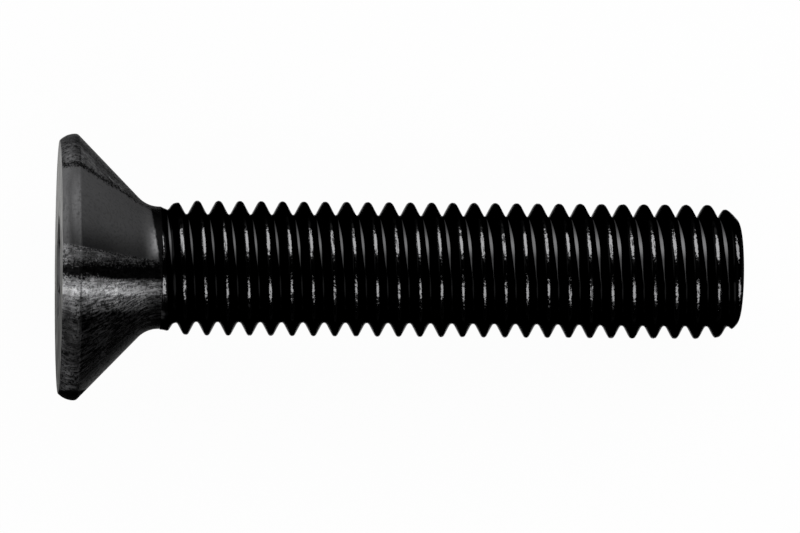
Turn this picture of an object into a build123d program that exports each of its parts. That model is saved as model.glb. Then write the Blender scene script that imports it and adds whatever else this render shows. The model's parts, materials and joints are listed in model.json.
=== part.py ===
from build123d import *
import os
from math import asin, atan2, ceil, cos, degrees, floor, hypot, radians, sin, sqrt, tan

# Countersunk hexagon socket screw, M8 x 1.25 x 40, threaded up to the head.
#
# The screw is drawn upright: its axis is Z, the flat face of the head is at Z = 0 and
# the tip is at Z = length. It is then laid down in the pose in which it comes to rest on
# a table, on the rim of its head and on the last full crest of its thread, with the tip
# towards +X. The underside of the lying screw is the +X side of the upright one.

# ---- Driving dimensions, in millimetres and degrees ----
length = 40.0  # head face to tip

head_d = 15.6  # at the widest place of the rim
rim_depth = 0.91  # head face to that widest place
rim_face_r = 1.25  # round of the rim towards the head face
rim_seat_r = 0.3  # round of the rim towards the seat
seat_angle = 91.5  # included angle of the countersunk seat
neck_d = 7.16  # the rolling blank, which shows where the seat meets the thread
neck_fillet_r = 1.7  # blends the seat into the neck
neck_length = 0.05  # what is left of the neck between the fillet and the thread

pitch = 1.25
thread_d = 7.9  # over the crests
thread_depth = 0.79  # crest to root
crest_phase = 0.26  # height of a crest on the underside, as a remainder of the pitch
crest_runout = 1.4  # the crests rise from the neck over this length
root_runout = 1.0  # the groove deepens from the neck over this length

tip_d = 6.1  # flat end
tip_angle = 39.0  # chamfer of the end, measured from the axis
tip_length = 0.65  # how far that chamfer reaches along the axis
lead_angle = 22.0  # before it the crests taper off at this angle from the axis

socket_af = 5.05  # hexagon, across its flats
socket_depth = 3.2  # head face to the end of the flats
socket_floor_angle = 120.0  # included angle of the cone below the flats
socket_mouth_d = 6.0  # lead-in at the head face
socket_mouth_angle = 120.0  # included angle of the lead-in
socket_turn = 30.0  # turns the hexagon from having a corner on the underside

# ---- Sizes that follow from them ----
head_r = head_d / 2
neck_r = neck_d / 2
crest_r = thread_d / 2
root_r = crest_r - thread_depth
tip_r = tip_d / 2
lead_r = tip_r + tip_length * tan(radians(tip_angle))
seat_half = radians(seat_angle / 2)
lead_slope = tan(radians(lead_angle))

rim_centre_r = head_r - rim_seat_r
face_r = head_r - rim_face_r + sqrt(rim_face_r**2 - rim_depth**2)
seat_top_r = rim_centre_r + rim_seat_r * cos(seat_half)
seat_top_z = rim_depth + rim_seat_r * sin(seat_half)
seat_end_z = seat_top_z + (seat_top_r - neck_r) / tan(seat_half)
thread_z = seat_end_z + neck_fillet_r * tan(seat_half / 2) + neck_length


def revolved(outline):
    """The solid that a closed outline of (radius, height) makes round the Z axis.

    Its seam is on the +Y side, clear of the underside that the screw rests on.
    """
    return revolve(make_face(Plane.YZ * outline), Axis.Z)


def head_blank():
    """The head, its neck, and a core inside the thread that fills the groove where it runs out."""
    core_slope = (neck_r - root_r) / root_runout
    core_end_z = thread_z + root_runout + pitch / 2
    core_end_r = neck_r - core_slope * (core_end_z - thread_z)
    face = Line((0, 0), (face_r, 0))
    rim_in = RadiusArc((face_r, 0), (head_r, rim_depth), -rim_face_r)
    rim_out = RadiusArc((head_r, rim_depth), (seat_top_r, seat_top_z), -rim_seat_r)
    seat = FilletPolyline(
        (seat_top_r, seat_top_z),
        (neck_r, seat_end_z),
        (neck_r, thread_z),
        radius=neck_fillet_r,
    )
    core = Polyline((neck_r, thread_z), (core_end_r, core_end_z), (0, core_end_z), (0, 0))
    return revolved(face + rim_in + rim_out + seat + core)


def thread_envelope():
    """The room that the crests may fill: it opens from the neck and closes towards the tip."""
    clear_r = crest_r + thread_depth / 2
    rise = (crest_r - neck_r) / crest_runout
    start_r = neck_r - rise * (thread_z - seat_end_z)
    open_z = thread_z + (clear_r - neck_r) / rise
    lead_z = length - tip_length
    close_z = lead_z - (clear_r - lead_r) / lead_slope
    outline = Polyline(
        (0, seat_end_z),
        (start_r, seat_end_z),
        (clear_r, open_z),
        (clear_r, close_z),
        (lead_r, lead_z),
        (tip_r, length),
        (0, length),
        close=True,
    )
    return revolved(outline)


def helix_turn(height, radius):
    """One turn of a right-hand helix that starts at this height on the underside."""
    return Helix(pitch, pitch, radius, center=(0, 0, height)).edge()


def threaded_rod():
    """A rod with the full thread, longer than the screw at both ends.

    Its surface is sewn from strips that are one turn long, each ruled between a crest
    and the root beside it, and its ends are closed by a half plane and a helicoid.
    """
    first_z = crest_phase + pitch * (floor((seat_end_z - crest_phase) / pitch) - 1)
    turns = ceil((length - first_z) / pitch) + 1
    last_z = first_z + turns * pitch
    crest = helix_turn(first_z, crest_r)
    root = helix_turn(first_z + pitch / 2, root_r)
    next_crest = helix_turn(first_z + pitch, crest_r)
    flanks = [
        Face.make_surface_from_curves(crest, root),
        Face.make_surface_from_curves(root, next_crest),
    ]
    faces = [Pos(0, 0, turn * pitch) * flank for turn in range(turns) for flank in flanks]
    for z in (first_z, last_z):
        top_z = z + pitch
        groove = Polyline(
            (0, 0, z),
            (crest_r, 0, z),
            (root_r, 0, z + pitch / 2),
            (crest_r, 0, top_z),
            (0, 0, top_z),
            close=True,
        )
        axis_line = Edge.make_line((0, 0, z), (0, 0, top_z))
        faces.append(make_face(groove))
        faces.append(Face.make_surface_from_curves(helix_turn(z, crest_r), axis_line))
    return Solid(Shell([face.face() for face in faces]))


def hex_socket():
    """The room of the driving socket: a hexagon with a chamfered mouth and a conical floor."""
    flat_r = socket_af / 2
    mouth_r = socket_mouth_d / 2
    floor_z = socket_depth + flat_r / tan(radians(socket_floor_angle / 2))
    mouth_z = mouth_r / tan(radians(socket_mouth_angle / 2))
    hexagon = Rot(0, 0, socket_turn) * RegularPolygon(flat_r, 6, major_radius=False)
    floor_cone = Polyline(
        (0, socket_depth), (flat_r, socket_depth), (0, floor_z), close=True
    )
    mouth_cone = Polyline((0, 0), (mouth_r, 0), (0, mouth_z), close=True)
    return extrude(hexagon, socket_depth) + revolved(floor_cone) + revolved(mouth_cone)


def upright_screw():
    """The whole screw, standing on its head."""
    return head_blank() + (threaded_rod() & thread_envelope()) - hex_socket()


def rest_tilt():
    """The dip of the lying screw's axis towards the tip, in radians.

    A line along the underside touches the round of the rim and the last crest before
    they taper off.
    """
    taper_z = length - tip_length - (crest_r - lead_r) / lead_slope
    crest_z = crest_phase + pitch * floor((taper_z - crest_phase) / pitch)
    run = crest_z - rim_depth
    drop = rim_centre_r - crest_r
    return atan2(drop, run) + asin(rim_seat_r / hypot(run, drop))


def laid_down(solid):
    """An upright solid in the resting pose, with its box over the origin and standing on Z = 0."""
    lying = Rot(0, 90 + degrees(rest_tilt()), 0) * solid
    box = lying.bounding_box()
    middle = box.center()
    return Pos(-middle.X, -middle.Y, -box.min.Z) * lying


os.makedirs("parts", exist_ok=True)
screw = laid_down(upright_screw())
export_step(screw, "parts/screw.step")
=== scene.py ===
"""Dresses a countersunk hexagon socket screw in blackened steel, on a pale studio floor.

The screw is one piece, so one mesh stands for its one solid. The head, the socket and the
flat end are turned about the screw's axis ring by ring, the rolled thread grows from a
Geometry Nodes tree that follows the helix, and all of them are welded together.
"""

import json
import logging
import math
from collections.abc import Callable
from dataclasses import dataclass, field
from enum import Enum
from functools import cached_property

import bmesh
import bpy
from bmesh.types import BMesh, BMVert
from bpy.types import ID, Material, Mesh, Node, NodeSocket, NodeTree, Object
from bpy.types import NodeTreeInterfaceSocket
from mathutils import Matrix, Vector

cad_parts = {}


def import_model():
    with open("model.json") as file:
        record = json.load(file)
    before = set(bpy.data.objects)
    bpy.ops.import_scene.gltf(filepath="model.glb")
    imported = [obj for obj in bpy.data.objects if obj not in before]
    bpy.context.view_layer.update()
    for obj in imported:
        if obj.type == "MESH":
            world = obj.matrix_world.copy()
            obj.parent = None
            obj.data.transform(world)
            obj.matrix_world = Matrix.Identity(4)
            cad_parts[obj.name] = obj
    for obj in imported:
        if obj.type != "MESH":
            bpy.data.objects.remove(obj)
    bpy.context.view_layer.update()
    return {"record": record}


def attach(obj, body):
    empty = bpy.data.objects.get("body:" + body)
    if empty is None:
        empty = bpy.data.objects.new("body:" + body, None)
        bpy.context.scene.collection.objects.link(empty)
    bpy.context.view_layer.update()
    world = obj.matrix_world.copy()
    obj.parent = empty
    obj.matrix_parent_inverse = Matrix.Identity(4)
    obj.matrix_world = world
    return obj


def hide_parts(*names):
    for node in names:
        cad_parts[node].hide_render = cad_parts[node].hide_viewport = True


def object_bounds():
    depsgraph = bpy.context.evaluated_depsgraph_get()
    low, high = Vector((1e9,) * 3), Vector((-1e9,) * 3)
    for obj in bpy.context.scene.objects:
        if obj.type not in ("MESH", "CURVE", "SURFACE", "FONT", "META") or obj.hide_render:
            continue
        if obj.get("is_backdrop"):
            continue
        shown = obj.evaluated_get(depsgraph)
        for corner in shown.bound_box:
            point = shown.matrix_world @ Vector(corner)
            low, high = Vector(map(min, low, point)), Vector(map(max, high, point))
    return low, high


MM = 0.001
SEGMENTS = 144  # round the screw, a multiple of 12 so that the socket's corners fall on them
SIXTH = math.radians(60)  # of a turn, one side of the hexagon
ACROSS = Vector((0, 1, 0))  # square to the screw and level
UNIT, FALL = (0.0, 1.0), (1.0, 0.0)
WHITE = (1.0, 1.0, 1.0, 1.0)
NEUTRAL = 1.02  # the share of blue that makes a finish look neither warm nor cool
ROLLED_TONE = 0.004  # how much the evenly black rolled part reflects
GRAIN = (20.0, 3.0, 0.6)  # scale, detail and roughness of the fine grain
BUMP = 0.5  # how strongly the fine relief shows
SHADER = "ShaderNodeTree"
NOWHERE = (0.0, 0.0, 0.0)  # what a vector input reads when nothing feeds it
PLACED = {"Place": NOWHERE, "Across": 0.0, "Along": 0.0}  # what most shader groups read

log = logging.getLogger("screw")

Span = tuple[float, float]  # the two ends of a range
Point = tuple[float, float]  # a radius and a depth below the head face
Measure = float | Callable[[float], float]  # the same all round, or by the angle


class LampShape(Enum):
    """The outline of a lamp."""

    RECTANGLE = 0
    ELLIPSE = 1


class Zone(Enum):
    """The zones of the surface, each with a finish of its own."""

    FACE = 0
    RIM = 1
    SEAT = 2
    SOCKET = 3
    THREAD = 4
    END = 5


# ---- Node trees ----


@dataclass(frozen=True)
class Wire:
    """An output of a node, which arithmetic leads on to further nodes."""

    graph: "Graph"
    socket: NodeSocket

    def __add__(self, other: "Value") -> "Wire":
        """Adds a value."""
        return self.graph.math("ADD", self, other)

    def __sub__(self, other: "Value") -> "Wire":
        """Takes a value away."""
        return self.graph.math("SUBTRACT", self, other)

    def __rsub__(self, other: "Value") -> "Wire":
        """Takes this away from a value."""
        return self.graph.math("SUBTRACT", other, self)

    def __mul__(self, other: "Value") -> "Wire":
        """Multiplies by a value."""
        return self.graph.math("MULTIPLY", self, other)

    def __truediv__(self, other: "Value") -> "Wire":
        """Divides by a value."""
        return self.graph.math("DIVIDE", self, other)

    def __abs__(self) -> "Wire":
        """Drops the sign."""
        return self.graph.math("ABSOLUTE", self)

    __radd__, __rmul__ = __add__, __mul__

    def within(self, low: "Value", high: "Value") -> "Wire":
        """Keeps it between two values."""
        return self.graph.math("MINIMUM", self.graph.math("MAXIMUM", self, low), high)

    def ramp(self, span: tuple, ends: tuple = UNIT) -> "Wire":
        """Goes smoothly from one end to the other over a span, and stays there beyond it."""
        inputs = dict(enumerate((self, *span, *ends)))
        return self.graph.wire("ShaderNodeMapRange", inputs, interpolation_type="SMOOTHSTEP")


Value = float | Wire  # what feeds one input of a node


def blend(low: Value, high: Value, mask: Wire) -> Wire:
    """Goes from one value to another as a mask goes from 0 to 1."""
    return low + (high - low) * mask


class Graph:
    """Adds nodes to one node tree and links them."""

    def __init__(self, tree: NodeTree) -> None:
        """Empties the shader or geometry tree that it will fill."""
        self.tree = tree
        tree.nodes.clear()

    def add(self, kind: str, inputs: dict | None = None, **settings: str | NodeTree) -> Node:
        """Adds a node.

        Args:
            kind: Blender's name for the node's type.
            inputs: a wire or a plain value for each input, by name or number.
            settings: the node's own settings.

        Returns:
            The new node.
        """
        node = self.tree.nodes.new(kind)
        for name, value in settings.items():
            setattr(node, name, value)
        self.feed(node, inputs or {})
        return node

    def feed(self, node: Node, inputs: dict) -> None:
        """Feeds inputs of a node.

        Args:
            node: the node.
            inputs: a wire or a plain value for each input, by name or number.
        """
        for key, value in inputs.items():
            if isinstance(value, Wire):
                self.tree.links.new(value.socket, node.inputs[key])
            else:
                node.inputs[key].default_value = value

    def wire(
        self,
        kind: str,
        inputs: dict | None = None,
        output: int | str = 0,
        **settings: str | NodeTree,
    ) -> Wire:
        """Adds a node, and gives one of its outputs."""
        return Wire(self, self.add(kind, inputs, **settings).outputs[output])

    def wires(self, node: Node) -> dict[str, Wire]:
        """All the outputs of a node, by name."""
        return {socket.name: Wire(self, socket) for socket in node.outputs}

    def math(self, operation: str, *values: Value) -> Wire:
        """Adds a Math node with these values in order."""
        return self.wire("ShaderNodeMath", dict(enumerate(values)), operation=operation)

    def vector(self, operation: str, *values: Value | tuple) -> Wire:
        """Adds a Vector Math node with these values in order."""
        return self.wire("ShaderNodeVectorMath", dict(enumerate(values)), operation=operation)

    def combine(self, x: Value = 0.0, y: Value = 0.0, z: Value = 0.0) -> Wire:
        """Makes a vector."""
        return self.wire("ShaderNodeCombineXYZ", {0: x, 1: y, 2: z})

    def scale(self, vector: Wire, factor: Value) -> Wire:
        """Makes a vector longer by a factor."""
        inputs = {0: vector, "Scale": factor}
        return self.wire("ShaderNodeVectorMath", inputs, operation="SCALE")

    def separate(self, vector: Wire) -> dict[str, Wire]:
        """The X, Y and Z of a vector."""
        return self.wires(self.add("ShaderNodeSeparateXYZ", {0: vector}))

    def noise(self, place: Wire, scale: Value, detail: float, roughness: float = 0.5) -> Wire:
        """Adds a noise texture that is read at a place and gives 0 to 1."""
        inputs = {"Vector": place, "Scale": scale, "Detail": detail, "Roughness": roughness}
        return self.wire("ShaderNodeTexNoise", inputs)


class Group(Graph):
    """A node group: first its named inputs, then its nodes, then its named outputs."""

    INPUTS = {int: "Int", float: "Float", tuple: "Vector", Material: "Material"}
    OUTPUTS = {"VALUE": "Float", "VECTOR": "Vector", "GEOMETRY": "Geometry"}

    def __init__(self, name: str, kind: str, inputs: dict) -> None:
        """Makes the group.

        Args:
            name: its name.
            kind: ShaderNodeTree or GeometryNodeTree.
            inputs: the default of each input by name, which also gives its type.
        """
        super().__init__(bpy.data.node_groups.new(name, kind))
        for label, default in inputs.items():
            sort = next(sort for base, sort in self.INPUTS.items() if isinstance(default, base))
            self.socket(label, "INPUT", sort).default_value = default
        self.given = self.wires(self.add("NodeGroupInput"))

    def socket(self, name: str, side: str, sort: str) -> NodeTreeInterfaceSocket:
        """Adds a named input or output."""
        kind = f"NodeSocket{sort}"
        return self.tree.interface.new_socket(name, in_out=side, socket_type=kind)

    def give(self, results: dict[str, Wire]) -> NodeTree:
        """Adds the outputs, which ends the group.

        Args:
            results: what it puts out, by name.

        Returns:
            The group's tree.
        """
        for name, result in results.items():
            self.socket(name, "OUTPUT", self.OUTPUTS[result.socket.type])
        self.add("NodeGroupOutput", results)
        return self.tree


# ---- Places ----


def placed(place: Vector, x: Vector, y: Vector, z: Vector) -> Matrix:
    """The matrix of something at a place that has these directions as its own axes."""
    return Matrix.Translation(place) @ Matrix((x, y, z)).transposed().to_4x4()


def put(name: str, data: ID) -> Object:
    """Puts a new object into the scene.

    Args:
        name: its name.
        data: its mesh, lamp or camera.

    Returns:
        The object.
    """
    thing = bpy.data.objects.new(name, data)
    bpy.context.scene.collection.objects.link(thing)
    return thing


@dataclass(frozen=True)
class ScrewAxes:
    """The screw's own upright axes, placed in the row's frame.

    Z runs from the head face to the tip, X points to the underside of the lying screw.
    """

    origin: Vector
    along: Vector

    @classmethod
    def from_record(cls, record: dict) -> "ScrewAxes":
        """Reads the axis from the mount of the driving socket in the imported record."""
        socket = next(mount for mount in record["mounts"] if mount["name"] == "hex_socket")
        return cls(Vector(socket["pos_m"]), -Vector(socket["axis"]).normalized())

    @property
    def under(self) -> Vector:
        """The direction of the underside."""
        return ACROSS.cross(self.along)

    def matrix(self) -> Matrix:
        """The change from the screw's own axes to the row's frame."""
        return placed(self.origin, self.under, ACROSS, self.along)


# ---- Shapes, in metres and radians ----


def arc(centre: Point, radius: float, start: float, end: float, steps: int) -> list[Point]:
    """Points along an arc, its angles going from growing radius towards the tip."""
    angles = (start + (end - start) * step / steps for step in range(steps + 1))
    return [
        (centre[0] + radius * math.cos(angle), centre[1] + radius * math.sin(angle))
        for angle in angles
    ]


def line(start: Point, end: Point, steps: int) -> list[Point]:
    """Points along a straight line, without its first point."""
    shares = (step / steps for step in range(1, steps + 1))
    return [tuple(a + (b - a) * share for a, b in zip(start, end)) for share in shares]


@dataclass
class TurnedMesh:
    """A mesh that grows ring by ring round the screw's axis."""

    mesh: BMesh
    last: list[BMVert] = field(default_factory=list)

    def ring(self, radius: Measure, depth: Measure, zone: Zone | None = None) -> None:
        """Adds a ring and joins it to the last one.

        Args:
            radius: its radius, or a function of the angle.
            depth: its depth below the head face, or a function of the angle.
            zone: the finish of the faces up to it, or None for the first ring.
        """
        verts = []
        for step in range(SEGMENTS):
            angle = 2 * math.pi * step / SEGMENTS
            r = radius(angle) if callable(radius) else radius
            z = depth(angle) if callable(depth) else depth
            verts.append(self.mesh.verts.new((r * math.cos(angle), r * math.sin(angle), z)))
        if zone is not None:
            for step in range(SEGMENTS):
                after = (step + 1) % SEGMENTS
                corners = (self.last[step], verts[step], verts[after], self.last[after])
                self.mesh.faces.new(corners).material_index = zone.value
        self.last = verts

    def close(self, depth: float, zone: Zone) -> None:
        """Closes the last ring with a fan to a point on the axis.

        Args:
            depth: where the point lies.
            zone: the fan's finish.
        """
        point = self.mesh.verts.new((0, 0, depth))
        for step in range(SEGMENTS):
            corners = (self.last[step], point, self.last[(step + 1) % SEGMENTS])
            self.mesh.faces.new(corners).material_index = zone.value


@dataclass
class HexSocket:
    """The driving socket: a chamfered mouth, six flats and a conical floor."""

    flat_radius: float = 2.525 * MM
    depth: float = 3.2 * MM
    floor_half_angle: float = math.radians(60)
    mouth_radius: float = 3.0 * MM
    mouth_half_angle: float = math.radians(60)
    turn: float = math.radians(30)
    tip_share: float = 0.02  # the first ring of the floor, as a share of its radius
    tip_rise: float = 0.02 * MM
    floor_shares: tuple = (0.3, 0.6, 0.85, 1.0)
    wall_shares: tuple = (0.75, 0.5, 0.25, 0.0)

    def wall_radius(self, angle: float) -> float:
        """Radius of the hexagon at an angle round the axis."""
        off = (angle - self.turn + SIXTH / 2) % SIXTH - SIXTH / 2
        return self.flat_radius / math.cos(SIXTH / 2 - abs(off))

    def wall_depth(self, share: float) -> Callable[[float], float]:
        """Depth of a ring on the flats, as a function of the angle.

        Args:
            share: its share of the way from the mouth's chamfer down to the floor.

        Returns:
            The function.
        """

        def depth(angle: float) -> float:
            """Depth of that ring at an angle."""
            edge = (self.mouth_radius - self.wall_radius(angle)) / math.tan(self.mouth_half_angle)
            return edge + (self.depth - edge) * share

        return depth

    def build(self, mesh: BMesh) -> None:
        """Sinks the socket into the head face.

        Args:
            mesh: the mesh to build in.
        """
        floor_depth = self.depth + self.flat_radius / math.tan(self.floor_half_angle)
        turned = TurnedMesh(mesh)
        turned.ring(self.flat_radius * self.tip_share, floor_depth - self.tip_rise)
        turned.close(floor_depth, Zone.SOCKET)
        for share in self.floor_shares:
            depth = floor_depth + (self.depth - floor_depth) * share
            turned.ring(self.flat_radius * share, depth, Zone.SOCKET)
        turned.ring(self.wall_radius, self.depth, Zone.SOCKET)
        for share in self.wall_shares:
            turned.ring(self.wall_radius, self.wall_depth(share), Zone.SOCKET)
        turned.ring(self.mouth_radius, 0, Zone.SOCKET)


@dataclass
class Head:
    """The head from the mouth of its socket to the start of the thread."""

    radius: float = 7.8 * MM
    rim_depth: float = 0.91 * MM
    rim_face_round: float = 1.25 * MM
    rim_seat_round: float = 0.3 * MM
    seat_half_angle: float = math.radians(91.5 / 2)
    neck_radius: float = 3.58 * MM
    neck_round: float = 1.7 * MM
    neck_length: float = 0.05 * MM
    socket: HexSocket = field(default_factory=HexSocket)
    face_steps: int = 10
    round_steps: int = 12
    edge_steps: int = 8
    seat_steps: int = 16

    @property
    def seat_top(self) -> Point:
        """Where the rim's round meets the seat."""
        half, bend = self.seat_half_angle, self.rim_seat_round
        return self.radius - bend + bend * math.cos(half), self.rim_depth + bend * math.sin(half)

    @property
    def thread_start(self) -> float:
        """Where the neck ends and the thread begins.

        Returns:
            The depth below the head face.
        """
        radius, depth = self.seat_top
        seat = (radius - self.neck_radius) / math.tan(self.seat_half_angle)
        blend_depth = self.neck_round * math.tan(self.seat_half_angle / 2)
        return depth + seat + blend_depth + self.neck_length

    def build(self, mesh: BMesh) -> None:
        """Turns the face, the rim, the seat and the neck.

        Args:
            mesh: the mesh to build in.
        """
        mouth = (self.socket.mouth_radius, 0)
        in_centre = (self.radius - self.rim_face_round, self.rim_depth)
        in_start = -math.asin(self.rim_depth / self.rim_face_round)
        rim_in = arc(in_centre, self.rim_face_round, in_start, 0, self.round_steps)
        out_centre = (self.radius - self.rim_seat_round, self.rim_depth)
        rim_out = arc(out_centre, self.rim_seat_round, 0, self.seat_half_angle, self.edge_steps)
        neck_centre = (self.neck_radius + self.neck_round, self.thread_start - self.neck_length)
        neck_start = math.pi + self.seat_half_angle
        neck = arc(neck_centre, self.neck_round, neck_start, math.pi, self.round_steps)
        parts = {
            Zone.FACE: line(mouth, rim_in[0], self.face_steps),
            Zone.RIM: rim_in[1:] + rim_out[1:],
            Zone.SEAT: line(rim_out[-1], neck[0], self.seat_steps)
            + neck[1:]
            + [(self.neck_radius, self.thread_start)],
        }
        turned = TurnedMesh(mesh)
        turned.ring(*mouth)
        for zone, points in parts.items():
            for point in points:
                turned.ring(*point, zone)


class ThreadTree(Group):
    """The Geometry Nodes tree that lays the thread's profile along the helix.

    Each point of its grid has a height and a share of the way from one crest to the next.
    Off is its distance from the crest along the screw, past and left are those from the
    thread's start and from its end, and place lies on the crest's cylinder.
    """

    LOW_CRESTS = (0.42, 0.7)  # the noise at which a crest goes from full to low
    OPEN_SEAMS = (0.45, 0.6)  # and the fold from closed to open
    LAND_ASIDE = (0.2, 0.62)  # how far beside the crest its mask fades, in widths of its land
    LAND_BELOW = (0.5, 1.2)  # and how far below it

    def __init__(self, inputs: dict[str, float | Material]) -> None:
        """Lays the grid's points along the helix.

        Args:
            inputs: the value of each of its inputs, by name.
        """
        super().__init__("Rolled thread", "GeometryNodeTree", inputs)
        given = self.given
        width = given["Rows"] + 1
        columns = given["Turns"] * given["Segments"] + 1
        grid = {"Vertices X": columns, "Vertices Y": width}
        self.grid = self.wire("GeometryNodeMeshGrid", grid)
        index = self.wire("GeometryNodeInputIndex")
        column = self.math("FLOOR", (index + 0.5) / width)
        turn = column / given["Segments"]
        even = (index - column * width) / given["Rows"]
        waves = 4 * math.pi
        self.share = even - given["Crowding"] * self.math("SINE", even * waves) / waves
        height = given["First Crest"] + (turn + self.share) * given["Pitch"]
        self.height = height.within(given["Start"], given["End"])
        self.off = self.math("PINGPONG", self.share, 0.5) * given["Pitch"]
        self.past, self.left = self.height - given["Start"], given["End"] - self.height
        angle = self.math("FRACT", turn) * (2 * math.pi)
        self.cosine, self.sine = self.math("COSINE", angle), self.math("SINE", angle)
        around, lift = self.combine(self.cosine, self.sine), self.combine(z=self.height)
        self.place = self.vector("MULTIPLY_ADD", around, given["Crest Radius"], lift)

    def shortfall(self) -> Wire:
        """How far the crest stays low where rolling didn't fill it, with the fold along it.

        Returns:
            The shortfall of the radius.
        """
        given, place, width = self.given, self.place, self.given["Seam Width"]
        patch = self.noise(place, given["Wander Scale"], 3.0, 0.6).ramp(self.LOW_CRESTS)
        swerve = (self.noise(place, given["Swerve Scale"], 2.0) - 0.5) * given["Crest Land"]
        seam = abs(self.off + swerve).ramp((width * given["Seam Core"], width), FALL)
        seam = seam * self.noise(place, given["Gap Scale"], 2.0).ramp(self.OPEN_SEAMS)
        return seam * given["Seam Depth"] + patch * given["Wander"]

    def profile(self) -> Wire:
        """The thread's section, before its two ends are shaped.

        Returns:
            The radius.
        """
        given, off, top = self.given, self.off, self.given["Crest Radius"]
        swelling = (given["Swell From"], given["Swell To"])
        swell = self.height.ramp(swelling, (0.0, given["Swell"]))
        land = swell * given["Land Swell"] + given["Crest Land"]
        crest = top - self.shortfall() - off * off * given["Crown"]
        flank = top - (off - land * 0.5) * given["Flank Slope"]
        radius = self.math("SMOOTH_MIN", crest, flank, given["Crest Round"])
        bend = given["Root Round"]
        inward = self.math("MINIMUM", given["Pitch"] * 0.5 - off, given["Root Reach"])
        sag = self.math("SQRT", bend * bend - inward * inward)
        return self.math("MAXIMUM", radius, given["Root Radius"] + swell + bend - sag)

    def limits(self) -> tuple[Wire, Wire]:
        """The most that the crests may reach and the least that the groove keeps.

        Returns:
            The radius of the upper limit and of the lower one.
        """
        given, past, left, neck = self.given, self.past, self.left, self.given["Neck Radius"]
        full = (given["Crest Radius"] - neck) / given["Crest Runout"]
        deep = (given["Root Radius"] - neck) / given["Root Runout"]
        chamfer = left * given["End Slope"] + given["End Radius"]
        lead = (left - given["Lead Length"]) * given["Lead Slope"] + given["Lead Radius"]
        closing = self.math("SMOOTH_MIN", chamfer, lead, given["Lead Round"])
        return self.math("MINIMUM", past * full + neck, closing), past * deep + neck

    def marks(self, below: Wire) -> dict[str, Wire]:
        """The masks that the finish reads: the crest's land and how near the root's middle is.

        Args:
            below: how far the surface lies below the highest that it may reach.

        Returns:
            The masks by the name of their attribute.
        """
        given, full = self.given, self.given["Crest Land"]
        land = self.past.ramp((0.0, given["Crest Runout"]), (given["Start Land"], 1.0)) * full
        near = self.off.ramp(tuple(land * width for width in self.LAND_ASIDE), FALL)
        high = below.ramp(tuple(full * width for width in self.LAND_BELOW), FALL)
        strip = 1.0 - abs(self.share - given["Root Share"]) * given["Root Slope"]
        return {"crest": near * high, "root": self.math("MAXIMUM", strip, 0.0)}

    def lay(self, lead_from: Span) -> NodeTree:
        """Puts the grid's points on the surface and marks them.

        Args:
            lead_from: how far from the end the round before it takes over.

        Returns:
            The tree.
        """
        given, past, left = self.given, self.past, self.left
        most, least = self.limits()
        soft, steep = given["Limit Round"], given["Clamp Slope"]
        rounding = left.ramp(lead_from, (given["Lead Round"], soft))
        radius = self.math("SMOOTH_MIN", self.profile(), most, rounding)
        radius = self.math("SMOOTH_MAX", radius, least, soft)
        for ring, distance in ((given["Neck Radius"], past), (given["End Radius"], left)):
            radius = radius.within(ring - distance * steep, ring + distance * steep)
        below = self.math("MINIMUM", given["Crest Radius"], most) - radius
        position = self.combine(radius * self.cosine, radius * self.sine, self.height)
        made = self.wire("GeometryNodeSetPosition", {0: self.grid, "Position": position})
        for name, mask in self.marks(below).items():
            stored = {0: made, "Name": name, "Value": mask}
            kind = "GeometryNodeStoreNamedAttribute"
            made = self.wire(kind, stored, data_type="FLOAT", domain="POINT")
        made = self.wire("GeometryNodeMergeByDistance", {0: made, "Distance": given["Weld"]})
        made = self.wire("GeometryNodeRealizeInstances", {0: made})
        made = self.wire("GeometryNodeSetMaterial", {0: made, "Material": given["Steel"]})
        return self.give({"Mesh": made})


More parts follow.
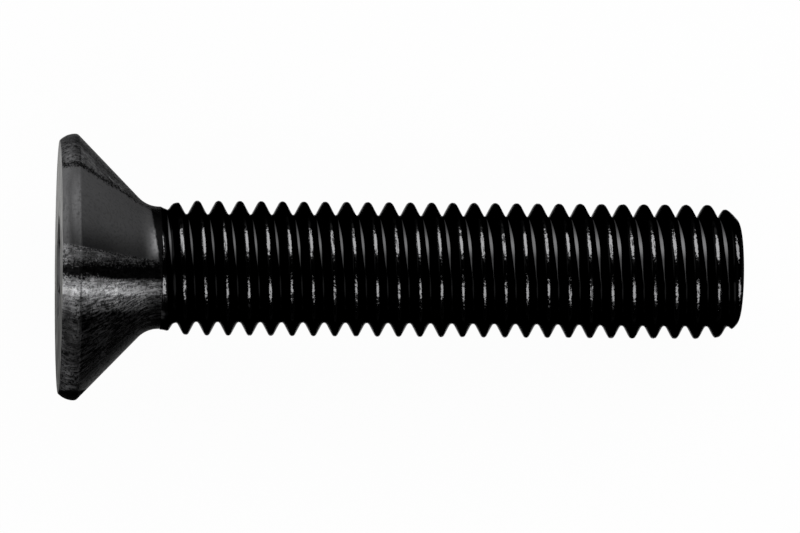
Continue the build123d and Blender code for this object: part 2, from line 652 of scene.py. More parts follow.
@dataclass
class RolledThread:
    """The thread, from its run-out at the neck to the rounded edge of the end."""

    length: float = 40.0 * MM
    pitch: float = 1.25 * MM
    crest_radius: float = 3.95 * MM
    root_radius: float = 3.16 * MM
    crest_land: float = 0.23 * MM
    half_angle: float = math.radians(28)
    crown: float = 2.0 / MM  # how fast the crest's land falls off to its edges
    crest_round: float = 0.09 * MM
    root_round: float = 0.155 * MM
    crest_phase: float = 0.26 * MM
    crest_runout: float = 1.4 * MM
    root_runout: float = 1.0 * MM
    limit_round: float = 0.28 * MM  # softens the corners that the run-out leaves
    lead_radius: float = 3.66 * MM
    lead_length: float = 0.65 * MM
    lead_slope: float = math.tan(math.radians(22))
    lead_round: float = 0.5 * MM
    lead_from: Span = (1.0 * MM, 2.0 * MM)  # from the end, where that round takes over
    end_radius: float = 2.9 * MM  # of the corner that the end's chamfer and flat would make
    end_slope: float = math.tan(math.radians(50))
    end_drop: float = 0.2 * MM  # the thread stops this far short, where the end's round begins
    swell: float = 0.05 * MM  # how much fuller the groove is on the last turns
    swell_from: float = 28.0 * MM
    swell_to: float = 34.0 * MM
    land_swell: float = 1.2  # how much wider the crest's land gets with it
    rows: int = 18
    crowding: float = 0.7  # how much closer the rows are at crest and root than on average
    wander: float = 0.02 * MM  # how far a crest falls short where it didn't fill
    wander_scale: float = 5200.0
    seam_depth: float = 0.03 * MM  # the fold that rolling leaves along the crest
    seam_width: float = 0.035 * MM
    seam_core: float = 0.3  # the share of that width that is deepest
    swerve_scale: float = 900.0
    gap_scale: float = 1500.0
    clamp_slope: float = 3.0  # how steeply the surface may leave its first and last ring
    weld: float = 0.0005 * MM
    start_land: float = 2.4  # how much wider the crest's mask is where the crest begins
    root_share: float = 0.47  # where the root's middle lies between two crests
    root_slope: float = 8.0  # how fast its mask falls off
    head: Head = field(default_factory=Head)

    INDIRECT = ("length", "half_angle", "crest_phase", "end_drop")  # no inputs of their own

    @property
    def end_ring(self) -> Point:
        """The ring where the thread stops."""
        return self.end_radius + self.end_drop * self.end_slope, self.length - self.end_drop

    def values(self, steel: Material) -> dict[str, float | Material]:
        """The value of each named input of the tree: the fields and what follows from them.

        Args:
            steel: the thread's finish.

        Returns:
            The values by name.
        """
        start = self.head.thread_start
        before = math.floor((start - self.crest_phase) / self.pitch) - 1
        first = self.crest_phase + before * self.pitch
        end_radius, end = self.end_ring
        values = {
            name.replace("_", " ").title(): value
            for name, value in vars(self).items()
            if isinstance(value, int | float) and name not in self.INDIRECT
        }
        return values | {
            "Turns": math.ceil((self.length - first) / self.pitch) + 1,
            "Segments": SEGMENTS,
            "First Crest": first,
            "Flank Slope": 1 / math.tan(self.half_angle),
            "Root Reach": self.root_round * math.cos(self.half_angle),
            "Start": start,
            "End": end,
            "Neck Radius": self.head.neck_radius,
            "End Radius": end_radius,
            "Lead Length": self.lead_length - self.end_drop,
            "Steel": steel,
        }

    def build(self, steel: Material) -> Mesh:
        """Evaluates the tree to a plain mesh in the screw's own axes.

        Args:
            steel: the thread's finish.

        Returns:
            The thread's mesh, open at the neck and at the end.
        """
        values = self.values(steel)
        tree = ThreadTree(values).lay(self.lead_from)
        carrier = put("thread", bpy.data.meshes.new("thread"))
        modifier = carrier.modifiers.new("Thread", "NODES")
        modifier.node_group = tree
        for item in tree.interface.items_tree:
            if item.item_type == "SOCKET" and item.in_out == "INPUT":
                modifier[item.identifier] = values[item.name]
        depsgraph = bpy.context.evaluated_depsgraph_get()
        mesh = bpy.data.meshes.new_from_object(carrier.evaluated_get(depsgraph))
        carrier.modifiers.remove(modifier)
        bpy.data.objects.remove(carrier)
        return mesh


@dataclass
class FlatEnd:
    """The end of the screw: a rounded edge and a flat that is a little dished."""

    thread: RolledThread = field(default_factory=RolledThread)
    edge_reach: float = 0.45 * MM  # how far in from the corner the edge's round reaches
    dish: float = 0.12 * MM
    steps: int = 8

    def build(self, mesh: BMesh) -> None:
        """Closes the end of the thread.

        Args:
            mesh: the mesh to build in.
        """
        s = self.thread
        flat_radius = s.end_radius - self.edge_reach
        bend = (s.end_ring, (s.end_radius, s.length), (flat_radius, s.length))
        turned = TurnedMesh(mesh)
        turned.ring(*s.end_ring)
        for step in range(1, self.steps + 1):
            t = step / self.steps
            shares = ((1 - t) ** 2, 2 * t * (1 - t), t**2)
            r, z = (sum(share * point[i] for share, point in zip(shares, bend)) for i in (0, 1))
            turned.ring(r, z, Zone.END)
        for step in range(1, self.steps):
            share = 1 - step / self.steps
            sag = self.dish * math.cos(share * math.pi / 2) ** 2
            turned.ring(flat_radius * share, s.length - sag, Zone.END)
        turned.close(s.length - self.dish, Zone.END)


# ---- Finishes, whose places on the screw are in millimetres ----


@dataclass(frozen=True)
class PaintedBands:
    """The head's painted light and shade: lighter and darker bands, by their places across the
    screw.
    """

    foot: Span = (-7.25, -7.1)  # painted shade: a dark line along the lowest edge
    worn: Span = (-3.0, -1.2)  # where the painted highlight band fades in
    rubbed: float = -1.34  # its brightest line
    rubbed_reach: Span = (0.12, 0.45)
    dark: Span = (-0.8, -0.45)
    speckled: Span = (0.05, 0.6)
    smooth: float = 1.22
    smooth_slant: tuple[float, float] = (1.0, 0.183)  # the depth of that place, and its slope
    smooth_depth: Span = (0.0, 1.7)
    upper: float = 5.98
    upper_slant: tuple[float, float] = (1.04, 0.594)  # the depth where it begins, and its slope
    line_reach: Span = (0.06, 0.2)
    fringe_reach: Span = (0.03, 0.11)

    def tree(self) -> NodeTree:
        """A group that gives the bands' edges.

        Each output is 0 below its band's lower edge and 1 above it, going across the screw,
        apart from three: Highlight, a painted highlight, fades in and peaks along its brightest
        line, Line is 1 on the thin dark lines and on the painted shade along the lowest edge,
        and Depth grows from the smooth band's lower edge.

        Returns:
            The group's tree.
        """
        g = Group("Head bands", SHADER, PLACED)
        place, across, along = (g.given[name] for name in PLACED)
        slow = g.noise(place, 1.1, 3.0, 0.6) - 0.5
        fine = g.noise(place, 7.0, 3.0, 0.7) - 0.5
        dotted = g.noise(place, 9.0, 3.0, 0.7)
        ragged = fine * 0.7 + slow * 0.35
        level = across + ragged
        inner = along.ramp((1.5, 3.2))
        low = level + along.ramp((1.0, 1.4), (0.15, 0.0)) - inner * 0.25
        # Painted highlight: a bright band that peaks along one line across the screw.
        bright = abs(level - self.rubbed).ramp(self.rubbed_reach, FALL)
        rubbed = g.math("MAXIMUM", low.ramp(self.worn, (0.0, 0.5)), bright)
        # Painted shade: the dark band between the painted highlight and the speckled band.
        dark = level + ragged * (0.6 - inner * 1.1) + inner * 0.15
        start, slant = self.smooth_slant
        edge = across - self.smooth + (along - start) * slant + ragged * 0.35
        start, slant = self.upper_slant
        past = g.math("MAXIMUM", along - start, 0.0)
        top = across - self.upper + past * slant + ragged * 1.1
        thin = abs(top).ramp(self.line_reach, (0.95, 0.0))
        thin = thin * dotted.ramp((0.4, 0.5), (0.35, 1.0))
        fringe = abs(edge + 0.05).ramp(self.fringe_reach, (0.8, 0.0))
        fringe = fringe * dotted.ramp((0.46, 0.54))
        # The thin dark lines, with painted shade along the lowest edge.
        lines = g.math("MAXIMUM", g.math("MAXIMUM", thin, fringe), across.ramp(self.foot, FALL))
        results = {
            "Rubbed": rubbed,
            "Dark": dark.ramp(self.dark),
            "Speckled": (level + fine * 1.3).ramp(self.speckled),
            "Smooth": edge.ramp((-0.04, 0.06)),
            "Upper": top.ramp((-0.05, 0.1)),
            "Line": lines,
            "Depth": edge.ramp(self.smooth_depth),
        }
        return g.give(results)


@dataclass
class SteelGroups:
    """The surface effects that the finishes share, each a shader node group."""

    axes: ScrewAxes

    @cached_property
    def bands(self) -> NodeTree:
        """The edges of the head's bands of painted light and shade."""
        return PaintedBands().tree()

    @cached_property
    def own(self) -> NodeTree:
        """Object coordinates turned into the screw's own axes, in millimetres.

        Returns:
            The group's tree.
        """
        g = Group("Screw coordinates", SHADER, {"Object": NOWHERE})
        back = self.axes.matrix().inverted()
        moved = {"Location": back.translation, "Rotation": back.to_euler()}
        own = g.wire("ShaderNodeMapping", {"Vector": g.given["Object"]} | moved)
        place = g.scale(own, 1 / MM)
        parts = g.separate(place)
        flat = g.combine(parts["X"], parts["Y"])
        around = g.vector("NORMALIZE", flat)
        results = {
            "Place": place,
            "Round": around,
            "Sideward": g.separate(around)["Y"],
            "Across": parts["Y"],
            "Along": parts["Z"],
            "Radius": g.wire("ShaderNodeVectorMath", {0: flat}, "Value", operation="LENGTH"),
        }
        return g.give(results)

    @cached_property
    def oxide(self) -> NodeTree:
        """The oxide's cloudy patches and its fine pits, as masks.

        Returns:
            The group's tree.
        """
        inputs = {"Place": NOWHERE, "Cloud Scale": 0.6, "Pit Scale": 9.0, "Pit Amount": 0.3}
        g = Group("Oxide", SHADER, inputs)
        place = g.given["Place"]
        clouds = g.noise(place, g.given["Cloud Scale"], 5.0, 0.62).ramp((0.3, 0.7))
        floor = 0.72 - g.given["Pit Amount"] * 0.35
        pits = g.noise(place, g.given["Pit Scale"], 4.0, 0.7).ramp((floor, floor + 0.08))
        return g.give({"Clouds": clouds, "Pits": pits})

    @cached_property
    def lay(self) -> NodeTree:
        """Fine lines and short cracks that run from the neck to the rim.

        Returns:
            The group's tree.
        """
        inputs = {"Round": NOWHERE, "Along": 0.0, "Lines": 52.0, "Length": 0.55}
        g = Group("Forging lay", SHADER, inputs)
        drawn = g.combine(z=g.given["Along"] / g.given["Length"])
        place = g.vector("ADD", g.scale(g.given["Round"], g.given["Lines"]), drawn)
        ridge = abs(g.noise(place, 0.9, 2.0, 0.6) - 0.47)
        cracks = ridge.ramp((0.008, 0.04), FALL) * g.noise(place, 0.35, 2.0).ramp((0.48, 0.6))
        return g.give({"Lines": g.noise(place, 1.0, 4.0, 0.65), "Cracks": cracks})

    @cached_property
    def rubbing(self) -> NodeTree:
        """Where a crest has lost its black and holds a painted highlight: in flecks, along two
        stripes on the sides where the lamps' highlights fall.

        Returns:
            The group's tree.
        """
        inputs = {"Place": NOWHERE, "Sideward": 0.0, "Crest": 0.0}
        g = Group("Rubbed flecks", SHADER, inputs | {"Fleck Scale": 7.0, "Patch Scale": 1.3})
        place, side, crest = g.given["Place"], g.given["Sideward"], g.given["Crest"]
        # Painted highlights: the two stripes lie on the sides where the lamps' highlights fall.
        wide = 1.35 - abs(side - 0.375) * 3.0
        thin = 1.05 - abs(side + 0.31) * 2.0
        flecks = g.noise(place, g.given["Fleck Scale"], 4.0, 0.7) - 0.5
        patches = g.noise(place, g.given["Patch Scale"], 2.0) - 0.5
        reach = crest * g.math("MAXIMUM", wide, thin) + flecks * 1.8 + patches * 0.7
        return g.give({"Rubbed": reach.ramp((0.72, 0.9)) * crest.ramp((0.0, 0.2))})

    @cached_property
    def burnished(self) -> NodeTree:
        """The bright strip along the root, a burnished root with a painted highlight, which
        tapers off at its ends, and its normal.

        The normal leans from the surface's own to that of a plain cylinder, as the root is
        burnished level there, and back to the strip's broad part where the strip gets thin.

        Returns:
            The group's tree.
        """
        inputs = {"Round": NOWHERE, "Sideward": 0.0, "Along": 0.0, "Root": 0.0}
        g = Group("Burnished root", SHADER, inputs | {"Surface": NOWHERE})
        side, along, surface = g.given["Sideward"], g.given["Along"], g.given["Surface"]
        turns = (8.0, 34.0)  # the strip changes between the first turns and the last
        wide = side.ramp((0.5, 1.0), (1.0, 0.35)) * side.ramp((-0.05, 0.5), (0.32, 1.0))
        wide = wide * side.ramp((-0.5, -0.1), (0.5, 1.0)) * along.ramp(turns, (0.47, 0.74))
        edge = 1.0 - wide
        strip = g.given["Root"].ramp((edge, edge + 0.18))
        # Painted highlight: the shine's strength is set by the side of the screw, strongest on
        # its upper side.
        shine = strip * side.ramp((-0.5, -0.05)) * side.ramp((0.18, 0.45), (0.28, 1.0))
        shine = shine * side.ramp((0.48, 0.9), (1.0, 0.08)) * along.ramp(turns, (0.65, 1.0))
        lean = side.ramp((-0.3, 0.35), (0.5, 0.0)) + side.ramp((0.45, 0.95), (0.0, -0.65))
        level = g.vector("ADD", g.given["Round"], g.combine(y=lean))
        turned = {"Vector": level, "Rotation": self.axes.matrix().to_euler()}
        level = g.wire("ShaderNodeVectorRotate", turned, rotation_type="EULER_XYZ")
        ways = {"vector_type": "NORMAL", "convert_from": "OBJECT", "convert_to": "WORLD"}
        level = g.wire("ShaderNodeVectorTransform", {0: level}, **ways)
        change = g.vector("SUBTRACT", level, surface)
        normal = g.vector("NORMALIZE", g.vector("MULTIPLY_ADD", change, strip, surface))
        return g.give({"Shine": shine, "Normal": normal})

    @cached_property
    def rolled(self) -> NodeTree:
        """The slanted edge from which the rolled part is evenly black.

        Returns:
            The group's tree.
        """
        g = Group("Rolled part", SHADER, PLACED | {"Edge": 5.77, "Slant": 0.13})
        past = g.given["Across"] * g.given["Slant"] + (g.given["Along"] - g.given["Edge"])
        fine = g.noise(g.given["Place"], 6.0, 2.0, 0.6) - 0.5
        return g.give({"Rolled": (past + fine * 0.15).ramp((-0.06, 0.06))})


@dataclass(frozen=True)
class Finish:
    """What every blackened finish says of itself."""

    name: str
    roughness: float = 0.4
    relief: float = 0.01 * MM  # the depth of its fine relief
    edge_tint: float = 0.4  # how much it reflects at a glancing angle, from 0 to 1
    warmth: float = 0.0  # how far its colour leans from blue to yellow
    pit_amount: float = 0.3


class SteelGraph(Graph):
    """The node tree of one blackened finish."""

    def __init__(self, look: Finish, groups: SteelGroups) -> None:
        """Starts a material with the screw's own coordinates.

        Args:
            look: the finish.
            groups: the shared surface effects.
        """
        self.look = look
        self.material = bpy.data.materials.new(look.name)
        self.material.use_nodes = True
        super().__init__(self.material.node_tree)
        self.own: dict[str, Wire] = {}
        coordinates = self.wire("ShaderNodeTexCoord", output="Object")
        self.own = self.effect(groups.own, {"Object": coordinates})
        self.grain = self.noise(self.own["Place"], *GRAIN)

    def effect(self, group: NodeTree, inputs: dict | None = None) -> dict[str, Wire]:
        """Places a shared effect, which reads the screw's own coordinates by their names.

        Args:
            group: the effect's group.
            inputs: its other inputs by name.

        Returns:
            The outputs of the placed group by name.
        """
        node = self.add("ShaderNodeGroup", inputs, node_tree=group)
        names = [socket.name for socket in node.inputs if socket.name in self.own]
        self.feed(node, {name: self.own[name] for name in names})
        return self.wires(node)

    def finish(
        self, tone: Wire, rough: Wire, height: Wire, normal: Wire | None = None
    ) -> Material:
        """Adds the shader.

        Args:
            tone: how much the steel reflects.
            rough: its roughness.
            height: the height of its fine relief, about 0 to 1.
            normal: the normal under the relief, if it isn't the surface's own.

        Returns:
            The finished material.
        """
        edge_tint, cool = self.look.edge_tint, tone * (NEUTRAL - self.look.warmth)
        raised = {"Strength": BUMP, "Distance": self.look.relief, "Height": height}
        bump = self.add("ShaderNodeBump", raised)
        if normal is not None:
            self.feed(bump, {"Normal": normal})
        inputs = {
            "Base Color": self.wire("ShaderNodeCombineColor", {0: tone, 1: tone, 2: cool}),
            "Metallic": 1.0,
            "Roughness": rough,
            "Specular Tint": (edge_tint, edge_tint, edge_tint, 1.0),
            "Normal": Wire(self, bump.outputs[0]),
        }
        steel = self.wire("ShaderNodeBsdfPrincipled", inputs)
        self.add("ShaderNodeOutputMaterial", {0: steel})
        return self.material


@dataclass(frozen=True)
class PlainFinish(Finish):
    """Evenly blackened steel with clouds, pits and fine grain, and where asked painted light:
    lighter on its upper side, with a painted highlight at its edge.
    """

    tone: float = 0.09
    cloud_depth: float = 0.35
    upper_gloss_and_light: float = 0.0  # how much smoother it is, and how much painted light lightens it, towards its upper side
    rubbed_gain: float = 0.0  # how much lighter its edge is where the painted highlight band meets it, as a painted highlight
    rubbed_edge: Span = (6.3, 7.0)  # how far from the axis that edge lies

    def material(self, groups: SteelGroups) -> Material:
        """Builds the material.

        Args:
            groups: the shared surface effects.

        Returns:
            The material.
        """
        g = SteelGraph(self, groups)
        clouds, pits = g.effect(groups.oxide, {"Pit Amount": self.pit_amount}).values()
        shades = (self.tone * (1 - self.cloud_depth), self.tone * (1 + self.cloud_depth))
        tone = clouds.ramp(UNIT, shades) * (1.0 - pits * 0.7)
        rough = clouds.ramp(UNIT, (self.roughness * 1.2, self.roughness * 0.85)) + pits * 0.2
        if self.upper_gloss_and_light:
            # Painted light and shade: lighter and smoother towards the upper side, darker and
            # rougher towards the lower one.
            gloss_and_light = g.own["Across"].ramp((-4.0, 4.0), (-self.upper_gloss_and_light, self.upper_gloss_and_light))
            bands = g.effect(groups.bands)
            # Painted highlight on the edge beside the painted highlight band.
            rubbed = bands["Rubbed"] * (1.0 - bands["Dark"])
            rubbed = rubbed * g.own["Radius"].ramp(self.rubbed_edge)
            tone = tone * (gloss_and_light + 1.0) * (rubbed * self.rubbed_gain + 1.0)
            rough = rough * (1.0 - gloss_and_light * 0.6)
        return g.finish(tone, rough, g.grain * 0.4 - pits)


@dataclass(frozen=True)
class HeadFinish(Finish):
    """Blackened steel with painted light and shade: bands that run from the rim to the neck, each
    with its own painted tone.
    """

    roughness: float = 0.39
    relief: float = 0.012 * MM
    edge_tint: float = 0.3
    pit_amount: float = 0.6
    pit_scale: float = 5.5
    upper: float = 0.055  # this and the names of the other bands give their painted tones
    upper_fade: float = 0.0  # how much that darkens towards the side of the screw
    smooth: float = 0.053
    fading: float = 0.75  # the share of that at the band's lower edge
    rise: float = 0.45  # and how much lighter it is at its upper edge
    speckled: float = 0.11
    dark: float = 0.007
    rubbed: float = 0.46
    lower: float = 0.029
    face_side: float = 0.9  # how much painted light lightens all of it towards the head face
    neck_highlight: float = 0.0  # how much lighter the round into the neck is: a painted highlight
    streak_depth: float = 0.42
    line: float = 0.002  # the tone of the thin dark lines and of the painted shade along the lowest edge
    foot_gain: float = 0.5  # how much rougher the lowest edge is

    def toned(self, g: SteelGraph, bands: dict[str, Wire]) -> Wire:
        """Lays the bands' painted tones one over another.

        Args:
            g: the material's tree.
            bands: the bands' edges by name.

        Returns:
            The tone, without its texture.
        """
        across, along = g.own["Across"], g.own["Along"]
        fading = blend(self.fading, 1.0, along.ramp((2.0, 4.8), (0.0, 0.6)))
        smooth = blend(fading, 1.0, bands["Depth"]) * self.smooth
        smooth = smooth * across.ramp((2.4, 5.6), (1.0, 1.0 + self.rise))
        # Painted shade: a darker patch under the painted highlight band, beside the rim.
        shade = along.ramp((0.4, 0.7)) * along.ramp((1.4, 2.1), FALL)
        shade = shade * across.ramp((-1.85, -1.4), FALL) * across.ramp((-4.0, -3.2))
        rubbed = along.ramp((3.9, 5.6), (1.0, 0.3)) * self.rubbed
        tone = blend(self.lower, rubbed, bands["Rubbed"]) * (1.0 - shade * 0.55)
        fade = 1.0 + self.upper_fade
        upper = g.own["Sideward"].ramp((0.85, 0.95), (fade, 1.0 / fade)) * self.upper
        layers = {
            "Dark": self.dark,
            "Speckled": self.speckled,
            "Smooth": smooth,
            "Upper": upper,
            "Line": self.line,
        }
        for band, layer in layers.items():
            tone = blend(tone, layer, bands[band])
        return tone

    def polished(self, g: SteelGraph, tone: Wire, speckled: Wire) -> Wire:
        """Paints a highlight on the round into the neck, in a strip a little above the axis, and
        darkens it around that.

        Args:
            g: the material's tree.
            tone: the tone.
            speckled: the speckled band's edge.

        Returns:
            The new tone.
        """
        across = g.own["Across"]
        neck_gain = across.ramp((1.7, 2.7), (1.0 + self.neck_highlight, 0.45))
        neck_gain = blend(0.4, neck_gain * across.ramp((0.3, 1.2), (0.3, 1.0)), speckled)
        return tone * blend(1.0, neck_gain, g.own["Along"].ramp((5.1, 5.7)))

    def material(self, groups: SteelGroups) -> Material:
        """Builds the material.

        Args:
            groups: the shared surface effects.

        Returns:
            The material.
        """
        g = SteelGraph(self, groups)
        bands = g.effect(groups.bands)
        pitting = {"Pit Scale": self.pit_scale, "Pit Amount": self.pit_amount}
        clouds, pits = g.effect(groups.oxide, pitting).values()
        lines, cracks = g.effect(groups.lay).values()
        marred = g.math("MAXIMUM", pits, cracks)
        even = bands["Smooth"] * (1.0 - bands["Upper"])  # where it has next to no texture
        depths = (1 - self.streak_depth, 1 + 2.2 * self.streak_depth)
        streaks = blend(lines.ramp((0.38, 0.66), depths), 1.0, bands["Rubbed"] * 0.6)
        texture = streaks * clouds.ramp(UNIT, (0.75, 1.3)) * (1.0 - marred * 0.85)
        texture = blend(texture, 1.0, bands["Rubbed"] * 0.4)
        texture = blend(1.0, texture, 1.0 - even * 0.93)
        tone = self.toned(g, bands) * texture
        # Painted light, lighter towards the head face.
        tone = tone * g.own["Along"].ramp((0.4, 0.95), (1.0 + self.face_side, 1.0))
        if self.neck_highlight:
            tone = self.polished(g, tone, bands["Speckled"])
        tone = blend(tone, ROLLED_TONE, g.effect(groups.rolled)["Rolled"])
        height = (lines * 1.5 + g.grain * 0.5 - marred) * (1.0 - even * 0.85)
        foot = g.own["Across"].ramp(PaintedBands.foot, FALL)
        rough = pits * 0.2 + self.roughness + foot * self.foot_gain
        return g.finish(tone, rough, height)


@dataclass(frozen=True)
class ThreadFinish(Finish):
    """Deep black rolled steel with a burnished root and crests that have lost their black, both
    lighter as painted highlights on the sides where the lamps' highlights fall.
    """

    roughness: float = 0.17
    relief: float = 0.005 * MM
    edge_tint: float = 0.0
    pit_amount: float = 0.15
    flank: float = ROLLED_TONE
    root: float = 0.085
    crest: float = 0.005
    # The worn crests' tone, a painted highlight.
    worn: float = 0.17
    end_highlight_tone: float = 0.34  # and beside the end, a stronger painted highlight
    end: Span = (38.9, 39.4)
    neck: float = 0.018  # what is left of the head's finish before the rolled part

    def material(self, groups: SteelGroups) -> Material:
        """Builds the material.

        Args:
            groups: the shared surface effects.

        Returns:
            The material.
        """
        g = SteelGraph(self, groups)
        crest, root = (
            g.wire("ShaderNodeAttribute", output="Fac", attribute_name=name)
            for name in ("crest", "root")
        )
        surface = g.wire("ShaderNodeNewGeometry", output="Normal")
        clouds, pits = g.effect(groups.oxide, {"Pit Amount": self.pit_amount}).values()
        rubbed = g.effect(groups.rubbing, {"Crest": crest})["Rubbed"]
        burnished = g.effect(groups.burnished, {"Root": root, "Surface": surface})
        # Painted highlight along the burnished root, as strong as its shine.
        tone = blend(self.flank, self.root, burnished["Shine"])
        tone = blend(tone, self.crest, crest) * clouds.ramp(UNIT, (0.85, 1.1))
        # The worn crests take the painted highlight's tone, lighter beside the end.
        worn = g.own["Along"].ramp(self.end, (self.worn, self.end_highlight_tone))
        tone = blend(tone, worn, rubbed)
        lines = g.effect(groups.lay)["Lines"]
        neck = lines.ramp((0.3, 0.7), (self.neck * 0.3, self.neck * 1.8))
        tone = blend(neck, tone, g.effect(groups.rolled)["Rolled"])
        rough = pits * 0.15 + self.roughness
        height = g.grain * 0.4 - rubbed * 0.6
        return g.finish(tone, rough, height, burnished["Normal"])


FINISHES = {
    Zone.FACE: PlainFinish(
        "blackened_face",
        roughness=0.43,
        warmth=0.09,
        edge_tint=0.5,
        upper_gloss_and_light=0.45,
        rubbed_gain=5.0,
    ),
    Zone.RIM: HeadFinish("blackened_rim"),
    Zone.SEAT: HeadFinish(
        "blackened_seat",
        upper=0.034,
        upper_fade=2.0,
        smooth=0.056,
        fading=0.35,
        rise=0.25,
        speckled=0.075,
        dark=0.003,
        rubbed=0.66,
        lower=0.0085,
        face_side=0.0,
        neck_highlight=1.9,
        streak_depth=0.85,
        roughness=0.38,
        edge_tint=0.4,
    ),
    Zone.SOCKET: PlainFinish("blackened_socket"),
    Zone.THREAD: ThreadFinish("blackened_thread"),
    Zone.END: PlainFinish("blackened_end", tone=0.02, edge_tint=0.1),
}


# ---- The screw ----


@dataclass
class Screw:
    """The whole screw: one mesh that stands for the one solid."""

    axes: ScrewAxes
    head: Head = field(default_factory=Head)
    socket: HexSocket = field(default_factory=HexSocket)
    thread: RolledThread = field(default_factory=RolledThread)
    end: FlatEnd = field(default_factory=FlatEnd)
    crease: float = math.radians(38)

    def build(self) -> Object:
        """Builds the mesh, dresses it and puts it in place.

        Returns:
            The screw's object.
        """
        groups = SteelGroups(self.axes)
        finishes = [FINISHES[zone].material(groups) for zone in Zone]
        rolled = self.thread.build(finishes[Zone.THREAD.value])
        mesh = bmesh.new()
        mesh.from_mesh(rolled)
        for face in mesh.faces:
            face.material_index = Zone.THREAD.value
        bpy.data.meshes.remove(rolled)
        for part in (self.head, self.socket, self.end):
            part.build(mesh)
        bmesh.ops.remove_doubles(mesh, verts=mesh.verts, dist=self.thread.weld)
        bmesh.ops.recalc_face_normals(mesh, faces=mesh.faces)
        open_edges = sum(1 for edge in mesh.edges if not edge.is_manifold)
        log.info("screw: %d faces, %d open edges", len(mesh.faces), open_edges)
        mesh.transform(self.axes.matrix())
        body = bpy.data.meshes.new("screw_body")
        mesh.to_mesh(body)
        mesh.free()
        for finish in finishes:
            body.materials.append(finish)
        for polygon in body.polygons:
            polygon.use_smooth = True
        body.set_sharp_from_angle(angle=self.crease)
        return put("screw_body", body)


# ---- The studio ----


@dataclass(frozen=True)
class SoftBox:
    """A soft lamp that faces the screw."""

    name: str
    shape: LampShape
    lean: float  # from straight up towards +Y, in degrees
    sway: float  # then towards +X, in degrees
    width: float  # in the direction of the screw
    depth: float
    radiance: float
    shift: float = 0.0  # moves it in its own plane towards the tip
    distance: float = 300 * MM

    @property
    def area(self) -> float:
        """Its shining area."""
        filled = math.pi / 4 if self.shape is LampShape.ELLIPSE else 1.0
        return self.width * self.depth * filled

    def build(self, target: Vector) -> None:
        """Hangs the lamp.

        Args:
            target: the point that it faces.
        """
        lean, sway = math.radians(self.lean), math.radians(self.sway)
        level = math.cos(sway)
        towards = Vector((math.sin(sway), level * math.sin(lean), level * math.cos(lean)))
        up = towards.cross(Vector((1, 0, 0))).normalized()
        side = up.cross(towards)
        lamp = bpy.data.lights.new(self.name, "AREA")
        lamp.shape = self.shape.name
        lamp.size = self.width
        lamp.size_y = self.depth
        lamp.energy = self.radiance * math.pi * self.area
        place = target + towards * self.distance + side * self.shift
        thing = put(self.name, lamp)
        thing.matrix_world = placed(place, side, up, towards)
        thing.visible_camera = False


@dataclass(frozen=True)
class Floor:
    """A round pale floor that shows white and keeps a faint shadow."""

    radius: float = 420 * MM
    segments: int = 96
    colour: tuple = (0.88, 0.88, 0.88, 1.0)
    glow: float = 0.965  # how much of what is seen comes from the plain white

    def build(self) -> None:
        """Lays the floor under the screw."""
        mesh = bmesh.new()
        bmesh.ops.create_circle(mesh, cap_ends=True, segments=self.segments, radius=self.radius)
        data = bpy.data.meshes.new("floor")
        mesh.to_mesh(data)
        mesh.free()
        data.materials.append(self.material())
        put("floor", data)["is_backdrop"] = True

    def material(self) -> Material:
        """The floor's matt white, which eyes and reflections see evenly lit.

        Returns:
            The material.
        """
        material = bpy.data.materials.new("floor_white")
        material.use_nodes = True
        g = Graph(material.node_tree)
        path = g.wires(g.add("ShaderNodeLightPath"))
        seen = path["Is Camera Ray"] + path["Is Glossy Ray"] + path["Is Transmission Ray"]
        share = g.math("MINIMUM", seen, 1.0) * self.glow
        matt = g.wire("ShaderNodeBsdfDiffuse", {"Color": self.colour})
        glow = g.wire("ShaderNodeEmission", {"Color": WHITE, "Strength": 1.0})
        mixed = g.wire("ShaderNodeMixShader", {0: share, 1: matt, 2: glow})
        g.add("ShaderNodeOutputMaterial", {0: mixed})
        return material


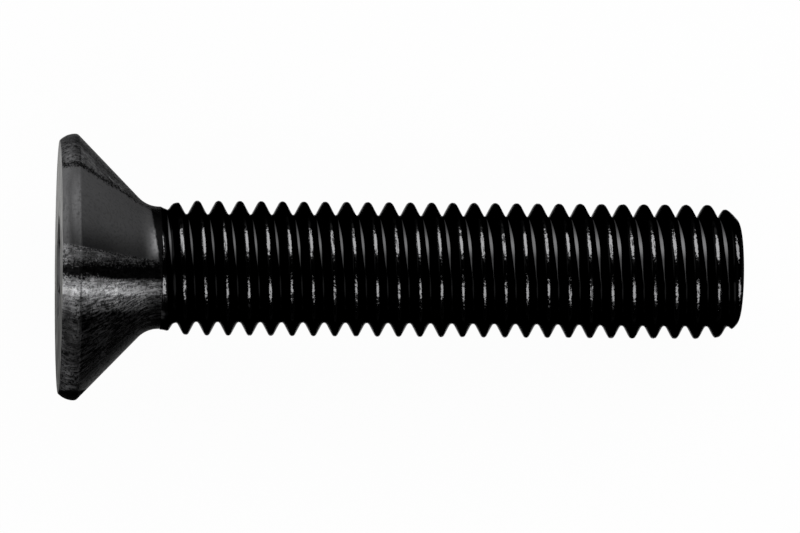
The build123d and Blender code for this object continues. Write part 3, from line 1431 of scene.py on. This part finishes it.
@dataclass(frozen=True)
class Camera:
    """A long lens above the screw, a little on the head's side."""

    distance: float = 500 * MM
    lens: float = 383.8
    sensor: float = 36.0
    yaw: float = math.radians(4.1)
    roll: float = math.radians(0.45)
    middle: float = 20.0 * MM  # the point of the axis that it aims at, from the head face
    rise: float = 0.18 * MM  # how far above the axis the middle of the picture lies
    clip: Span = (0.1, 20.0)  # the nearest and the farthest that it sees, in distances

    def build(self, axes: ScrewAxes) -> None:
        """Sets up the camera.

        Args:
            axes: where the screw's own axes lie.
        """
        back = -axes.under * math.cos(self.yaw) - axes.along * math.sin(self.yaw)
        aim = axes.origin + axes.along * self.middle + ACROSS * self.rise
        turned = placed(aim + back * self.distance, ACROSS.cross(back), ACROSS, back)
        data = bpy.data.cameras.new("camera")
        data.lens = self.lens
        data.sensor_width = self.sensor
        data.clip_start, data.clip_end = (self.distance * share for share in self.clip)
        camera = put("camera", data)
        camera.matrix_world = turned @ Matrix.Rotation(self.roll, 4, "Z")
        bpy.context.scene.camera = camera


@dataclass(frozen=True)
class Studio:
    """The floor, the lamps, the dim surroundings and the camera."""

    floor: Floor = Floor()
    camera: Camera = Camera()
    lamps: tuple = (
        SoftBox("lamp_left", LampShape.ELLIPSE, 53, 0, 700 * MM, 390 * MM, 2.3, 200 * MM),
        SoftBox("lamp_right", LampShape.ELLIPSE, -39, 0, 400 * MM, 260 * MM, 2.0, 60 * MM),
        SoftBox("lamp_head", LampShape.RECTANGLE, 46, -62, 200 * MM, 240 * MM, 1.6),
    )
    surroundings: float = 0.03

    def build(self, axes: ScrewAxes) -> None:
        """Sets up all of it.

        Args:
            axes: where the screw's own axes lie.
        """
        self.floor.build()
        target = axes.origin + axes.along * self.camera.middle
        for lamp in self.lamps:
            lamp.build(target)
        world = bpy.data.worlds.new("studio")
        world.use_nodes = True
        g = Graph(world.node_tree)
        dim = g.wire("ShaderNodeBackground", {"Color": WHITE, "Strength": self.surroundings})
        g.add("ShaderNodeOutputWorld", {0: dim})
        bpy.context.scene.world = world
        bpy.context.scene.view_settings.view_transform = "Standard"
        self.camera.build(axes)


def corners() -> list[list[float]]:
    """The lowest and highest corner of what is shown, as plain lists."""
    return [list(corner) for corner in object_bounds()]


def main() -> None:
    """Builds the screw and the studio."""
    logging.basicConfig(level=logging.INFO, format="%(name)s: %(message)s")
    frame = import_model()
    axes = ScrewAxes.from_record(frame["record"])
    screw = Screw(axes).build()
    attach(screw, "root")
    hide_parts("screw")
    Studio().build(axes)


if __name__ == "__main__":
    main()
